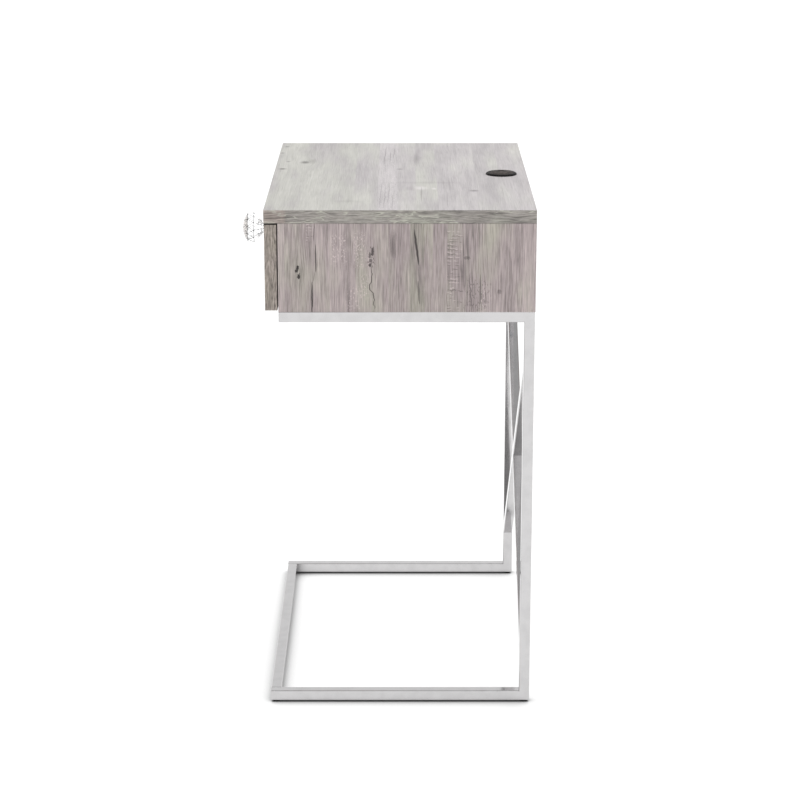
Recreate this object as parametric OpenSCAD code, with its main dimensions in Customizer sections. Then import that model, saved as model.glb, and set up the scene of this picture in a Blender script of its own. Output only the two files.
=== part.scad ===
// Side table with a chrome-plated tube frame, one full-extension drawer and a charging port.
// +X is the table's right side as seen from the front, -Y is the front, +Z is up.
// The origin is on the floor, under the middle of the whole table, knob included.

/* [Table] */
// Width of the table, from side to side
table_w = 491; // [440:1:600]
// Depth of the top panel, from front to back
table_d = 330; // [330:1:400]
// Clear height between the floor rails and the top rails
leg_clear = 484; // [420:1:560]
// Thickness of the top panel
top_t = 16; // [16:1:22]

/* [Carcass] */
// Height of the side panels under the top panel
panel_h = 110; // [110:1:150]
// Thickness of the side panels
side_t = 15; // [15:1:18]
// Thickness of the bottom panel
bottom_t = 12; // [12:1:16]
// Thickness of the back panel
back_t = 5; // [4:0.5:5]

/* [Frame] */
// Outside size of the square frame tube
tube = 13; // [12:1:16]
// Wall thickness of the frame tube
wall = 1.2; // [1:0.1:1.5]
// Height of the feet under the floor rails
foot_h = 2.5; // [2:0.5:6]
// Gap between the cross brace and the rails above and below it, at the legs
brace_gap = 48.5; // [20:0.5:90]

/* [Drawer] */
// Thickness of the drawer front
front_t = 15; // [15:1:18]
// How far the drawer front sits behind the top panel's front edge
front_recess = 0.5; // [0:0.1:2]
// Gap between the closed drawer front and the side panels
front_gap = 1.2; // [1:0.1:2]
// Gap above the drawer front
front_top_gap = 1.5; // [1:0.1:3]
// Height of the drawer front
front_h = 106.5; // [100:0.5:107]
// Height of the drawer box's sides
box_h = 76; // [60:1:78]
// Thickness of the drawer box's boards
box_t = 12; // [12:1:14]

/* [Knob] */
// How far the knob stands out of the drawer front
knob_reach = 41; // [36:1:50]
// Widest diameter of the knob's crystal
knob_d = 39.6; // [30:0.2:44]
// Number of facets around the crystal
knob_facets = 12; // [8:1:12]

/* [Charging port] */
// Diameter of the charging port's flange
port_d = 40; // [40:1:42]
// Distance from the charging port's centre to the table's back edge
port_back = 33; // [32:1:36]
// How far the charging port stands above the top panel
port_rise = 3; // [2:0.5:4]

/* [Hidden] */
$fn = 48;
hair = 0.05;        // running clearance of balls, screws and stems
over = 1;           // how far a cut runs past the face it opens

// Heights
z_tube = foot_h;                        // underside of the floor rails
z_rail = z_tube + tube + leg_clear;     // underside of the top rails
z_case = z_rail + tube;                 // underside of the carcass
z_under = z_case + panel_h;             // underside of the top panel
z_top = z_under + top_t;                // table surface

// Depths
total_d = table_d + knob_reach - front_recess;
y_back = total_d / 2;
y_front = y_back - table_d;
y_face = y_front + front_recess;        // drawer front's outer face
y_box = y_face + front_t;               // drawer front's inner face
y_case = y_box + front_gap;             // front edges of the side panels and top rails
y_leg = y_back - 0.3;                   // rear face of the legs
y_base = y_front;                       // front end of the floor rails
back_inset = 3;
y_panel = y_back - back_inset - back_t; // front face of the back panel

// Widths
x_out = table_w / 2;
x_in = x_out - side_t;                  // inner faces of the side panels
x_tube = x_out - tube;                  // inner faces of the legs and rails

// Drawer slides: the profile's heights are half heights about the slide's centre line, and its
// reaches run from the side panel towards the drawer
slide_l = 250;
slide_t = 12.7;
sheet = 1.2;
z_slide = z_case + 56;
y_slide = y_case + 2;
outer_h = 22.5;
middle_h = 18.2;
inner_h = 13.9;
lip_h = 0.8;
middle_u = 2.6;
middle_tip = 9.8;
inner_tip = 4.9;
outer_tip = 9;
lip_w = 0.9;
ball_gap = outer_h - sheet - middle_h;  // space between two races
ball_r = ball_gap / 2 - hair;
outer_ball_u = 6.3;
inner_ball_u = 7.4;
cage_l = 110;
cage_sheet = 0.6;
ball_count = 6;
ball_pitch = 17;
y_cage = y_slide + slide_l / 2;         // centre of every cage when the drawer is shut
slide_screw_at = [20, 108, 230];        // along the slide from its front end

// Drawer box
x_box = x_in - slide_t;                 // outer faces of the drawer's sides
z_box = z_slide - box_h / 2;
box_l = 252;
box_bottom_t = 4;
box_groove = 5;
z_front = z_under - front_top_gap - front_h;
z_knob = z_front + front_h / 2;

// Charging port
port_y = y_back - port_back;
port_r = port_d / 2;
port_body_r = 17;
port_sink = 1;
port_depth = 38;
port_wall = 1.6;
slot_x = -9.5;      // the socket sits towards the left of the port's face
slot_w = 8.9;
slot_h = 3.3;
led_y = 9;

// Fasteners
dowel_r = 4;
dowel_in = 20;
dowel_out = 10;
cam_r = 7.5;
cam_t = 12.5;
cam_drop = 24;
cam_ys = [y_case + 45, y_panel - 45];
top_dowel_ys = [y_case + 20, y_panel - 20];
floor_dowel_ys = [y_case + 25, y_case + 150, y_panel - 30];
frame_screw_xs = [-x_out * 0.6, x_out * 0.6];
grommet_z = z_case + 44;
grommet_r = 10;

/* ---- helpers ---- */

module box(lo, hi) translate(lo) cube(hi - lo);

// A 2D shape drawn in Y and Z, extruded towards +X
module along_x(x, length) translate([x, 0, 0]) rotate([90, 0, 90])
    linear_extrude(length) children();

// A 2D shape drawn in X and Z, extruded from y to y + length
module along_y(y, length) translate([0, y + length, 0]) rotate([90, 0, 0])
    linear_extrude(length) children();

// A cylinder along Y, from y to y + length
module rod_y(r, x, y, z, length) translate([x, y, z]) rotate([-90, 0, 0]) cylinder(r = r, h = length);

// A cylinder along X, from the middle of the table outwards on the side given
module rod_x(r, side, x, y, z, length) translate([side * x, y, z]) rotate([0, side * 90, 0])
    cylinder(r = r, h = length);

module steel() color([0.85, 0.85, 0.86]) children();
module board() color([0.68, 0.65, 0.63]) children();
module zinc() color([0.72, 0.73, 0.75]) children();
module black() color([0.12, 0.12, 0.12]) children();

/* ---- frame ---- */

// A hollow tube of the table's left or right side: outline and inside drawn in Y and Z
module side_tube(side, outline, inside) {
    x = side > 0 ? x_tube : -x_out;
    difference() {
        along_x(x, tube) polygon(outline);
        along_x(x + wall, tube - 2 * wall) polygon(inside);
    }
}

// The leg is mitred into the floor rail and the top rail
module leg(side) steel() side_tube(side,
    [[y_leg, z_tube], [y_leg, z_case], [y_leg - tube, z_rail], [y_leg - tube, z_tube + tube]],
    [[y_leg - wall, z_tube + wall], [y_leg - wall, z_case - wall],
     [y_leg - tube + wall, z_rail + wall], [y_leg - tube + wall, z_tube + tube - wall]]);

module top_rail(side) steel() side_tube(side,
    [[y_case, z_rail], [y_leg - tube, z_rail], [y_leg, z_case], [y_case, z_case]],
    [[y_case + wall, z_rail + wall], [y_leg - tube + wall, z_rail + wall],
     [y_leg - wall, z_case - wall], [y_case + wall, z_case - wall]]);

foot_ys = [y_base + tube / 2, y_leg - tube / 2];
stem_r = 3;
stem_h = 8;

module floor_rail(side) steel() difference() {
    side_tube(side,
        [[y_base, z_tube], [y_leg, z_tube], [y_leg - tube, z_tube + tube], [y_base, z_tube + tube]],
        [[y_base + wall, z_tube + wall], [y_leg - wall, z_tube + wall],
         [y_leg - tube + wall, z_tube + tube - wall], [y_base + wall, z_tube + tube - wall]]);
    for (y = foot_ys) translate([side * (x_out - tube / 2), y, z_tube - over])
        cylinder(r = stem_r + hair, h = wall + 2 * over);
}

// A hollow tube between the two sides of the frame, butted against their inner faces
module crossbar(y, z) difference() {
    box([-x_tube, y, z], [x_tube, y + tube, z + tube]);
    box([-x_tube - over, y + wall, z + wall], [x_tube + over, y + tube - wall, z + tube - wall]);
}

module top_crossbar(y) steel() difference() {
    crossbar(y, z_rail);
    for (x = frame_screw_xs) translate([x, y + tube / 2, z_rail - over])
        cylinder(r = screw_r + hair, h = tube + 2 * over);
}

// The brace's bars meet the legs' inner faces. One bar runs through, and the other is two
// halves cut to the first one's sides. Points are in X and Z from the crossing.
z_cross = (z_tube + tube + z_rail) / 2;
brace_h = leg_clear / 2 - brace_gap;
brace_a = atan2(brace_h, x_tube) - asin(tube / 2 / norm([x_tube, brace_h]));
slope = tan(brace_a);
half_v = tube / 2 / cos(brace_a);       // half of the bar's thickness, measured upright
half_in = half_v - wall / cos(brace_a);

// half is the outline's half thickness, and longer is what it is longer by at each open end.
function through_bar(half, longer = 0) =
    let (x = x_tube + longer, z = slope * x)
    [[x, z + half], [x, z - half], [-x, -z - half], [-x, -z + half]];
function half_bar(half, longer = 0) =
    let (x = x_tube + longer, z = slope * x, drop = slope * longer)
    [[-x, z + half], [-x, z - half],
     [longer - (half_v + half) / 2 / slope, (half_v - half) / 2 - drop],
     [longer - (half_v - half) / 2 / slope, (half_v + half) / 2 - drop]];

module brace_tube(outline, inside) translate([0, 0, z_cross]) difference() {
    along_y(y_leg - tube, tube) polygon(outline);
    along_y(y_leg - tube + wall, tube - 2 * wall) polygon(inside);
}

module brace_bar_rising() steel()
    brace_tube(through_bar(half_v), through_bar(half_in, over));

module brace_bar_falling_upper() steel()
    brace_tube(half_bar(half_v), half_bar(half_in, over));
module brace_bar_falling_lower() steel()
    brace_tube(-half_bar(half_v), -half_bar(half_in, over));

// Feet

module foot(side, y) black() translate([side * (x_out - tube / 2), y, 0]) {
    translate([0, 0, 0.5]) cylinder(r = 5, h = foot_h - 0.5);
    cylinder(r1 = 4.4, r2 = 5, h = 0.5);
    cylinder(r = stem_r, h = foot_h + stem_h);
}

// Screws from under the crossbars into the bottom panel
screw_r = 2.5;
head_r = 4.75;
head_h = 2.8;
insert_h = 10;
insert_r = 3.5;
screw_points = [for (x = frame_screw_xs, y = [y_case, y_leg - tube]) [x, y + tube / 2]];

module frame_screws() zinc() for (p = screw_points) translate([p[0], p[1], z_rail - head_h]) difference() {
    union() {
        cylinder(r = screw_r, h = head_h + tube + insert_h - 1);
        cylinder(r1 = head_r - 1.4, r2 = head_r, h = head_h - 1);
        translate([0, 0, head_h - 1]) cylinder(r = head_r, h = 1);
    }
    translate([0, 0, -over]) cylinder(r = 1.7, h = 1.8 + over, $fn = 6);
}

module frame_inserts() color([0.75, 0.62, 0.35]) for (p = screw_points) translate([p[0], p[1], z_case])
    difference() {
        cylinder(r = insert_r, h = insert_h);
        translate([0, 0, -over]) cylinder(r = screw_r + hair, h = insert_h + 2 * over);
    }

/* ---- carcass ---- */

module top_panel() board() difference() {
    box([-x_out, y_front, z_under], [x_out, y_back, z_top]);
    translate([0, port_y, z_under - over]) cylinder(r = port_body_r + 0.3, h = top_t + 2 * over);
    translate([0, port_y, z_top - port_sink]) cylinder(r = port_r + 0.3, h = port_sink + over);
    for (side = [-1, 1], y = top_dowel_ys) translate([side * (x_in + side_t / 2), y, z_under - over])
        cylinder(r = dowel_r, h = dowel_out + over);
    for (side = [-1, 1], y = cam_ys) translate([side * (x_in + side_t / 2), y, z_under - over])
        cylinder(r = cam_bolt_r, h = cam_bolt_up + over);
}

cam_bolt_r = 3;
cam_bolt_up = 11;
rebate = 6;

module side_panel(side) board() difference() {
    box([side > 0 ? x_in : -x_out, y_case, z_case], [side > 0 ? x_out : -x_in, y_back, z_under]);
    // rebate for the back panel
    translate([side > 0 ? x_in - over : -x_in - rebate, y_panel, z_case + bottom_t])
        cube([rebate + over, back_t + back_inset + over, panel_h]);
    // cams in the inner face, and their bolts from the top edge
    for (y = cam_ys) {
        rod_x(cam_r, side, x_in - over, y, z_under - cam_drop, cam_t + over);
        translate([side * (x_in + side_t / 2), y, z_under - cam_drop])
            cylinder(r = cam_bolt_r + 0.3, h = cam_drop + over);
    }
    // dowels to the top panel and the bottom panel
    for (y = top_dowel_ys) translate([side * (x_in + side_t / 2), y, z_under - dowel_in])
        cylinder(r = dowel_r, h = dowel_in + over);
    for (y = floor_dowel_ys) rod_x(dowel_r, side, x_in - over, y, z_case + bottom_t / 2, dowel_out + over);
    for (s = slide_screw_at) cabinet_slide_screw(side, s);
    for (z = back_screw_zs) rod_y(1.5, side * back_screw_x, y_panel - back_screw_l, z, back_screw_l + over);
}

module bottom_panel() board() difference() {
    box([-x_in, y_case, z_case], [x_in, y_back, z_case + bottom_t]);
    for (p = screw_points) translate([p[0], p[1], z_case - over]) cylinder(r = insert_r, h = insert_h + over);
    for (side = [-1, 1], y = floor_dowel_ys)
        rod_x(dowel_r, side, x_in - dowel_in, y, z_case + bottom_t / 2, dowel_in + over);
}

module back_panel() color([0.62, 0.59, 0.57]) difference() {
    box([-x_in - rebate, y_panel, z_case + bottom_t], [x_in + rebate, y_panel + back_t, z_under]);
    rod_y(grommet_r + 2, 0, y_panel - over, grommet_z, back_t + 2 * over);
    for (side = [-1, 1], z = back_screw_zs)
        rod_y(1.5, side * back_screw_x, y_panel - over, z, back_t + 2 * over);
}

module carcass_dowels() color("burlywood") for (side = [-1, 1]) {
    for (y = top_dowel_ys) translate([side * (x_in + side_t / 2), y, z_under - dowel_in])
        cylinder(r = dowel_r, h = dowel_in + dowel_out);
    for (y = floor_dowel_ys)
        rod_x(dowel_r, side, x_in - dowel_in, y, z_case + bottom_t / 2, dowel_in + dowel_out);
}

module cam_locks() zinc() for (side = [-1, 1], y = cam_ys) difference() {
    rod_x(cam_r, side, x_in, y, z_under - cam_drop, cam_t);
    translate([side * (x_in + side_t / 2), y, z_under - cam_drop - 2])
        cylinder(r = cam_bolt_r + 0.3, h = cam_drop);
    // cross-head recess
    for (turn = [0, 90]) translate([side * x_in, y, z_under - cam_drop]) rotate([turn, 0, 0])
        cube([4, 6, 1.4], center = true);
}

module cam_bolts() zinc() for (side = [-1, 1], y = cam_ys)
    translate([side * (x_in + side_t / 2), y, z_under - cam_drop])
        cylinder(r = cam_bolt_r, h = cam_drop + cam_bolt_up);

back_screw_x = x_in + rebate / 2;
back_screw_zs = [z_case + bottom_t + 12, z_case + panel_h / 2, z_under - 15];
back_screw_l = 14;

module back_panel_screws() zinc() for (side = [-1, 1], z = back_screw_zs) {
    rod_y(1.5, side * back_screw_x, y_panel - back_screw_l, z, back_t + back_screw_l);
    rod_y(2.8, side * back_screw_x, y_panel + back_t, z, 1.4);
}

module cable_grommet() black() translate([0, y_panel - 2, grommet_z]) rotate([-90, 0, 0]) difference() {
    union() {
        cylinder(r = grommet_r + 2, h = back_t + 2);
        translate([0, 0, back_t + 2]) cylinder(r = grommet_r + 6, h = 1.2);
        translate([0, 0, back_t + 3.2]) cylinder(r1 = grommet_r + 6, r2 = grommet_r + 5.2, h = 0.8);
    }
    translate([0, 0, -over]) cylinder(r = grommet_r, h = back_t + 4 + 2 * over);
}

/* ---- charging port ---- */

// Everything about the port is drawn down from the table surface
module at_port() translate([0, port_y, z_top]) children();
port_chin = 1.4;    // height of the flange's upright edge above the table

module port_housing() black() at_port() difference() {
    union() {
        translate([0, 0, -port_sink]) cylinder(r = port_r, h = port_sink + port_chin);
        translate([0, 0, port_chin])
            cylinder(r1 = port_r, r2 = port_r - 1.8, h = port_rise - 0.6 - port_chin);
        translate([0, 0, -port_depth]) cylinder(r = port_body_r, h = port_depth);
    }
    translate([0, 0, -port_depth + port_wall]) cylinder(r = port_body_r - port_wall - 1, h = port_depth);
    cylinder(r = port_body_r - port_wall, h = port_rise);
    // way in for the power inlet
    translate([-4.6, 0, -port_depth - over]) cube([9.2, 9.2, 2 * over + port_wall]);
}

module socket_outline(w, h) {
    square([h, w - h], center = true);
    for (s = [-1, 1]) translate([0, s * (w - h) / 2]) circle(d = h);
}

port_face_r = port_body_r - port_wall - hair;
port_face_t = 3;

// The face is a shallow dome cut by the socket's mouth
module port_face() color([0.33, 0.32, 0.31]) at_port() difference() {
    translate([0, 0, port_rise - port_face_t]) {
        cylinder(r = port_face_r, h = port_face_t - 0.6);
        translate([0, 0, port_face_t - 0.6]) cylinder(r1 = port_face_r, r2 = port_face_r - 3, h = 0.6);
    }
    translate([slot_x, 0, -port_face_t]) linear_extrude(2 * port_face_t + port_rise)
        socket_outline(slot_w + 0.6, slot_h + 0.6);
    translate([slot_x, led_y, -port_face_t]) cylinder(r = 1, h = 2 * port_face_t + port_rise);
}

shell_t = 0.3;
shell_l = 7;

module port_shell() zinc() at_port() translate([slot_x, 0, port_rise - 0.8 - shell_l]) difference() {
    linear_extrude(shell_l) socket_outline(slot_w, slot_h);
    translate([0, 0, shell_t]) linear_extrude(shell_l)
        socket_outline(slot_w - 2 * shell_t, slot_h - 2 * shell_t);
}

module port_tongue() black() at_port() translate([slot_x, 0, port_rise - 0.8 - shell_l + shell_t])
    linear_extrude(shell_l - 1.4) square([0.7, slot_w - 2.2], center = true);

board_z = port_rise - 0.8 - shell_l;    // upper side of the circuit board

module port_circuit_board() color([0.1, 0.35, 0.2]) at_port() {
    translate([0, 0, board_z - 1.6]) cylinder(r = port_face_r - 1, h = 1.6);
    // transformer, capacitor and chip under the board
    translate([-9, -10, board_z - 9.6]) cube([9, 8, 8]);
    translate([7, -3, board_z - 12.6]) cylinder(r = 3.5, h = 11);
    translate([-8, 3, board_z - 3.2]) cube([6, 6, 1.6]);
}

nut_t = 5;

module port_lock_nut() black() translate([0, port_y, z_under - nut_t]) difference() {
    cylinder(r = port_body_r + 4, h = nut_t);
    translate([0, 0, -over]) cylinder(r = port_body_r + hair, h = nut_t + 2 * over);
    for (turn = [0:30:330]) rotate([0, 0, turn]) translate([port_body_r + 4.4, 0, -over])
        cylinder(r = 1.2, h = nut_t + 2 * over);
}

module port_power_inlet() black() at_port() translate([0, 4.6, -port_depth]) {
    difference() {
        translate([-4.5, -4.5, 0]) cube([9, 9, 12]);
        translate([0, 0, -over]) cylinder(r = 2.75, h = 9 + over);
    }
    // centre contact
    translate([0, 0, 1]) cylinder(r = 0.65, h = 8.5);
}

/* ---- drawer ---- */

groove_z = z_box + 6;

module drawer_front() board() difference() {
    box([-x_out, y_face, z_front], [x_out, y_box, z_front + front_h]);
    rod_y(2 + hair, 0, y_face - over, z_knob, front_t + 2 * over);
    for (side = [-1, 1], z = box_dowel_zs)
        rod_y(dowel_r, side * (x_box - box_t / 2), y_box - dowel_out, z, dowel_out + over);
    // groove for the drawer's bottom
    box([-x_box + box_t - box_groove, y_box - box_groove, groove_z],
        [x_box - box_t + box_groove, y_box + over, groove_z + box_bottom_t]);
}

box_dowel_zs = [z_box + 22, z_box + box_h - 14];
y_box_end = y_box + box_l;

module drawer_side(side) color([0.8, 0.77, 0.72]) difference() {
    box([side > 0 ? x_box - box_t : -x_box, y_box, z_box],
        [side > 0 ? x_box : -x_box + box_t, y_box_end, z_box + box_h]);
    // groove for the bottom, in the inner face
    box([side > 0 ? x_box - box_t - over : -x_box + box_t - box_groove, y_box - over, groove_z],
        [side > 0 ? x_box - box_t + box_groove : -x_box + box_t + over, y_box_end + over,
         groove_z + box_bottom_t]);
    for (z = box_dowel_zs) rod_y(dowel_r, side * (x_box - box_t / 2), y_box - over, z, dowel_in + over);
    for (s = slide_screw_at) drawer_slide_screw(side, s);
    for (z = box_dowel_zs)
        rod_x(dowel_r, side, x_box - box_t - over, y_box_end - box_t / 2, z, dowel_out - 2 + over);
}

module drawer_back() color([0.8, 0.77, 0.72]) difference() {
    box([-x_box + box_t, y_box_end - box_t, groove_z + box_bottom_t],
        [x_box - box_t, y_box_end, z_box + box_h]);
    for (side = [-1, 1], z = box_dowel_zs)
        rod_x(dowel_r, side, x_box - box_t - dowel_in, y_box_end - box_t / 2, z, dowel_in + over);
}

module drawer_bottom() color([0.86, 0.84, 0.8])
    box([-x_box + box_t - box_groove, y_box - box_groove, groove_z],
        [x_box - box_t + box_groove, y_box_end, groove_z + box_bottom_t]);

module drawer_dowels() color("burlywood") for (side = [-1, 1], z = box_dowel_zs) {
    rod_y(dowel_r, side * (x_box - box_t / 2), y_box - dowel_out, z, dowel_in + dowel_out);
    rod_x(dowel_r, side, x_box - box_t - dowel_in, y_box_end - box_t / 2, z, dowel_in + dowel_out - 2);
}

// Knob: drawn along its own axis, out of the drawer front
module at_knob() translate([0, y_face, z_knob]) rotate([90, 0, 0]) children();
base_h = 14.5;
base_r = 9.5;
neck_r = 5.7;
crystal_r = knob_d / 2;
crystal_h = knob_reach - base_h;
crown = 0.8;        // share of the crystal's height below the crown
girdle = 0.47;      // share of the crystal's height below the girdle
screw_in = 10;

module knob_base() steel() at_knob() difference() {
    union() {
        cylinder(r = base_r, h = 1.5);
        translate([0, 0, 1.5]) cylinder(r1 = base_r, r2 = base_r - 2, h = 1.5);
        translate([0, 0, 3]) cylinder(r = 5, h = base_h - 7);
        translate([0, 0, base_h - 4]) cylinder(r1 = 5, r2 = neck_r + 1.5, h = 2);
        translate([0, 0, base_h - 2]) cylinder(r = neck_r + 1.5, h = 2);
    }
    translate([0, 0, -over]) cylinder(r = 2 + hair, h = screw_in + 1 + over);
}

module knob_crystal() color([0.9, 0.95, 1, 0.5]) at_knob() translate([0, 0, base_h])
    rotate_extrude($fn = knob_facets) polygon([
        [0, 0], [neck_r, 0], [10.6, crystal_h * 0.12], [crystal_r, crystal_h * girdle],
        [crystal_r * 0.955, crystal_h * crown], [8.2, crystal_h], [0, crystal_h]]);

module knob_screw() zinc() at_knob() {
    translate([0, 0, -front_t]) cylinder(r = 2, h = front_t + screw_in);
    translate([0, 0, -front_t - 2.4]) difference() {
        cylinder(r = 4, h = 2.4);
        for (turn = [0, 90]) rotate([0, 0, turn]) cube([4.4, 0.9, 2.6], center = true);
    }
}

/* ---- drawer slides ---- */

// A slide part's profile: [reach, half height] points are given for the upper half and mirrored
// below. The right slide's reach runs towards -X from the right side panel.
module slide_profile(side, y, length) translate([side * x_in, 0, z_slide]) along_y(y, length)
    for (up = [-1, 1]) mirror([side > 0 ? 1 : 0, 0]) mirror([0, up > 0 ? 0 : 1]) children();

// An upright web, a race at the height given, and lips at the race's tip
module channel(web_u, tip_u, race, lip_z, lip_t) {
    translate([min(web_u, tip_u), race - sheet]) square([abs(tip_u - web_u), sheet]);
    translate([min(web_u, web_u + sheet * sign(tip_u - web_u)), 0]) square([sheet, race]);
    translate([tip_u > web_u ? tip_u - lip_w : tip_u, lip_z]) square([lip_w, lip_t]);
}

// A countersunk screw that runs outwards (out = 1) or inwards (out = -1). Its head lies in a
// hole in the slide's web, just under the web's free face.
flat_r = 4;
flat_sunk = 0.2;

module flat_screw(side, x, out, s, length) translate([side * x, y_slide + s, z_slide])
    rotate([0, side * out * 90, 0]) {
        cylinder(r = flat_r, h = sheet - flat_sunk);
        translate([0, 0, sheet - flat_sunk]) cylinder(r1 = flat_r, r2 = 1.75, h = flat_r - 1.75);
        cylinder(r = 1.75, h = length);
    }

module cabinet_slide_screw(side, s) flat_screw(side, x_in - sheet + flat_sunk, 1, s, 12);
module drawer_slide_screw(side, s) flat_screw(side, x_box + sheet - flat_sunk, -1, s, 10);

// Holes in a web for those heads, from the half width given
module web_holes(side, x) for (s = slide_screw_at)
    rod_x(flat_r + 0.1, side, x - over, y_slide + s, z_slide, sheet + 2 * over);

module slide_outer(side) zinc() difference() {
    slide_profile(side, y_slide, slide_l)
        channel(0, outer_tip, outer_h, outer_h - sheet - lip_h, lip_h);
    web_holes(side, x_in - sheet);
}

module slide_middle(side) zinc() slide_profile(side, y_slide, slide_l)
    channel(middle_u, middle_tip, middle_h, middle_h - sheet - lip_h, sheet + 2 * lip_h);

module slide_inner(side) zinc() difference() {
    slide_profile(side, y_slide, slide_l) channel(slide_t, inner_tip, inner_h, inner_h, lip_h);
    web_holes(side, x_box);
}

// A ball cage: a U-shaped strip whose two flanges hold the balls in round pockets
module cage(side, web_u, ball_u, ball_z, web_t) color([0.5, 0.5, 0.48]) difference() {
    slide_profile(side, y_cage - cage_l / 2, cage_l) {
        translate([web_u, 0]) square([web_t, ball_z + cage_sheet / 2]);
        translate([web_u, ball_z - cage_sheet / 2]) square([ball_u + ball_r - web_u, cage_sheet]);
    }
    for (p = ball_ys, up = [-1, 1]) translate([side * (x_in - ball_u), p, z_slide + up * ball_z - over])
        cylinder(r = ball_r + 0.1, h = 2 * over);
}

ball_ys = [for (i = [0:ball_count - 1]) y_cage + (i - (ball_count - 1) / 2) * ball_pitch];
outer_ball_z = middle_h + ball_gap / 2;
inner_ball_z = inner_h + ball_gap / 2;

module outer_cage(side) cage(side, 1.6, outer_ball_u, outer_ball_z, cage_sheet);
module inner_cage(side) cage(side, 4.1, inner_ball_u, inner_ball_z, 0.5);

module balls(side, ball_u, ball_z) steel() for (p = ball_ys, up = [-1, 1])
    translate([side * (x_in - ball_u), p, z_slide + up * ball_z]) sphere(r = ball_r);

module cabinet_slide_screws() zinc() for (side = [-1, 1], s = slide_screw_at) cabinet_slide_screw(side, s);
module drawer_slide_screws() zinc() for (side = [-1, 1], s = slide_screw_at) drawer_slide_screw(side, s);

/* ---- nodes ---- */

top_panel();
side_panel(-1);  // left_side_panel
side_panel(1);  // right_side_panel
back_panel();
bottom_panel();
carcass_dowels();
cam_locks();
cam_bolts();
back_panel_screws();
cable_grommet();
leg(-1);  // left_leg
leg(1);  // right_leg
top_rail(-1);  // left_top_rail
top_rail(1);  // right_top_rail
floor_rail(-1);  // left_floor_rail
floor_rail(1);  // right_floor_rail
top_crossbar(y_case);  // front_top_crossbar
top_crossbar(y_leg - tube);  // rear_top_crossbar
steel() crossbar(y_base, z_tube);  // front_floor_crossbar
brace_bar_rising();
brace_bar_falling_upper();
brace_bar_falling_lower();
foot(-1, foot_ys[0]);  // front_left_foot
foot(1, foot_ys[0]);  // front_right_foot
foot(-1, foot_ys[1]);  // rear_left_foot
foot(1, foot_ys[1]);  // rear_right_foot
frame_screws();
frame_inserts();
port_housing();
port_face();
port_shell();
port_tongue();
port_circuit_board();
port_lock_nut();
port_power_inlet();
drawer_front();
drawer_side(-1);  // drawer_left_side
drawer_side(1);  // drawer_right_side
drawer_back();
drawer_bottom();
drawer_dowels();
knob_crystal();
knob_base();
knob_screw();
slide_outer(-1);  // left_slide_outer
slide_outer(1);  // right_slide_outer
slide_middle(-1);  // left_slide_middle
slide_middle(1);  // right_slide_middle
slide_inner(-1);  // left_slide_inner
slide_inner(1);  // right_slide_inner
outer_cage(-1);  // left_outer_cage
outer_cage(1);  // right_outer_cage
inner_cage(-1);  // left_inner_cage
inner_cage(1);  // right_inner_cage
balls(-1, outer_ball_u, outer_ball_z);  // left_outer_balls
balls(1, outer_ball_u, outer_ball_z);  // right_outer_balls
balls(-1, inner_ball_u, inner_ball_z);  // left_inner_balls
balls(1, inner_ball_u, inner_ball_z);  // right_inner_balls
cabinet_slide_screws();
drawer_slide_screws();
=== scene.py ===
"""Side table with one drawer: its looks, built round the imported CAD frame."""

import math

import bmesh
import bpy
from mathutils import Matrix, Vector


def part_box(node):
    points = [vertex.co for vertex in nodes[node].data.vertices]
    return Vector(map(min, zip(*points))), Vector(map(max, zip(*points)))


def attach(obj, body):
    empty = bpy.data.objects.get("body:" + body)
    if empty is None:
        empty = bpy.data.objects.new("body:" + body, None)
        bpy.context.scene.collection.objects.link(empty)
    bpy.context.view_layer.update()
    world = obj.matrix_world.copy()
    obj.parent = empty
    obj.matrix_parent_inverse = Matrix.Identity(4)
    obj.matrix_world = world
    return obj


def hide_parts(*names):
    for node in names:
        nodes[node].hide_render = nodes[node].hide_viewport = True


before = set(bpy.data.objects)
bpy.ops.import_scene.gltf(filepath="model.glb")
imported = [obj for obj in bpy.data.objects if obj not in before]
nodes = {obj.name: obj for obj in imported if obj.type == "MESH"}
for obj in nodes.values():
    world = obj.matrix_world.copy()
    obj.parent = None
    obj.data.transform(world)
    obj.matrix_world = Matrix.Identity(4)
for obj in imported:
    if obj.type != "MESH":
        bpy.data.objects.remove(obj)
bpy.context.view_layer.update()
scene = bpy.context.scene

MM = 0.001
WHITE = (1.0, 1.0, 1.0, 1.0)

# ---- camera and light ----

# the camera looks along -X at the table's right side, and a little down
CAMERA_PLACE = (2.9976, 0.0201, 1.1777)
CAMERA_TILT = 74.244
CAMERA_LENS = 104.48
CAMERA_SENSOR = 36.0
CAMERA_REACH = 100.0
# how high a direction points where the world starts to darken, and where it is darkest
SKY_START = 0.25
SKY_END = 0.85
SKY_LEVEL = 0.95
SKY_OVERHEAD = 0.50
SUN_STRENGTH = 3.6
SUN_ANGLE = 80.0
SUN_TILT = 14.0
SUN_TURN = -90.0


def make_camera():
    data = bpy.data.cameras.new("camera")
    data.lens = CAMERA_LENS
    data.sensor_width = CAMERA_SENSOR
    data.clip_end = CAMERA_REACH
    camera = bpy.data.objects.new("camera", data)
    camera.location = CAMERA_PLACE
    camera.rotation_euler = (math.radians(CAMERA_TILT), 0.0, math.radians(90.0))
    scene.collection.objects.link(camera)
    scene.camera = camera


def make_sun(name, strength, angle, tilt, turn):
    """A soft light from far away, left out of reflections.

    tilt is its angle from straight down, and turn the side it comes from.
    """
    data = bpy.data.lights.new(name, "SUN")
    data.energy = strength
    data.angle = math.radians(angle)
    sun = bpy.data.objects.new(name, data)
    sun.rotation_euler = (math.radians(tilt), 0.0, math.radians(turn))
    sun.visible_glossy = False
    scene.collection.objects.link(sun)


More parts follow.
